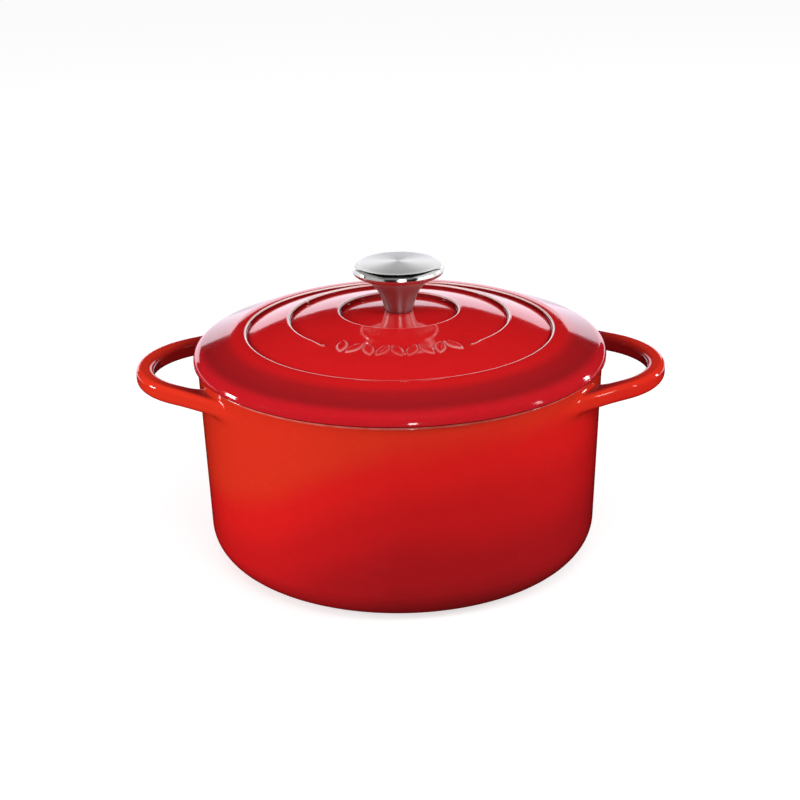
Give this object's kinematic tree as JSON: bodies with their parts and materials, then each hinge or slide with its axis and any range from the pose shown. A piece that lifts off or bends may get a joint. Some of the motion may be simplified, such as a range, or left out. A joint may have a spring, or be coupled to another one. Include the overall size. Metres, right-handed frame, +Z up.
{
  "type": "dutch oven",
  "caption": "Round enamelled cast iron dutch oven with two loop handles, and a stepped domed lid with a disc-topped steel knob.",
  "frame": {"origin": "centre of the base, on the plane that the pot stands on", "axes": "+Z up along the axis of the pot, lid and knob; the two handles lie along +X and -X"},
  "size_m": [0.324, 0.2516, 0.1814],
  "materials": {
    "red_enamel": "glossy orange-red vitreous enamel outside, cream enamel inside, over cast iron",
    "stainless_steel": "satin brushed face and stem, polished rim",
    "seal": "matt black heat-proof rubber",
    "fixing_steel": "plain stainless fixings"
  },
  "bodies": {
    "pot": {"pot": "red_enamel"},
    "lid": {"lid": "red_enamel", "knob": "stainless_steel", "knob_gasket": "seal", "lid_gasket": "seal", "flat_washer": "fixing_steel", "spring_washer": "fixing_steel", "knob_screw": "fixing_steel"}
  },
  "joints": [
    {"name": "lid_lift", "type": "slide", "parent": "pot", "child": "lid", "axis": [0, 0, 1], "range_m": [0, 0.2]}
  ]
}
